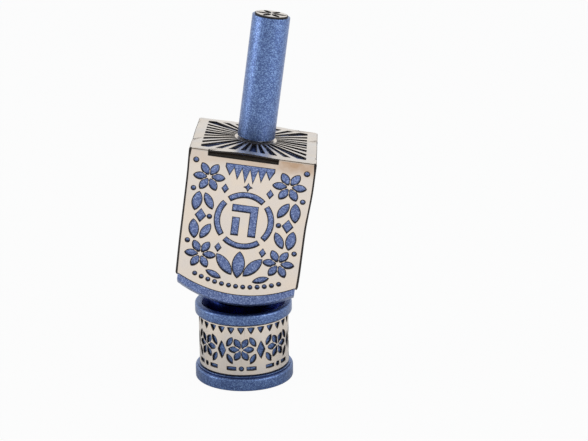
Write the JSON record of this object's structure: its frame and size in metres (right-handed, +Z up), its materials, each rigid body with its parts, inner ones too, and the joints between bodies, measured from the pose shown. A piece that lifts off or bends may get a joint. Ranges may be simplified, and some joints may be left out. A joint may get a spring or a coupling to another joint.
{
  "type": "dreidel",
  "caption": "Square metal dreidel wrapped in a folded laser-cut sheet, leaning in the recess of a round turned stand. It spins on a pip and lifts off its stand.",
  "frame": {"origin": "centre of the stand's flat underside", "axes": "+Z up along the stand's axis, +X the way the dreidel leans, -Y the side with the front face"},
  "size_m": [0.0196, 0.017, 0.0535],
  "materials": {
    "blue_anodised": "satin",
    "silver_sheet": "satin",
    "plain_steel": "machined"
  },
  "bodies": {
    "stand": {"stand_body": "blue_anodised", "stand_band": "silver_sheet"},
    "lift": {"stud": "plain_steel"},
    "dreidel": {"block": "blue_anodised", "overlay": "silver_sheet", "stem": "blue_anodised", "stem_disc": "silver_sheet"}
  },
  "joints": [
    {"name": "lift_off", "type": "slide", "parent": "stand", "child": "lift", "axis": [0.1351, 0, 0.9908], "range_m": [0, 0.03]},
    {"name": "spin", "type": "hinge", "parent": "lift", "child": "dreidel", "pos_m": [-0.00141, 0, 0.0096], "axis": [0.1351, 0, 0.9908], "continuous": true}
  ]
}
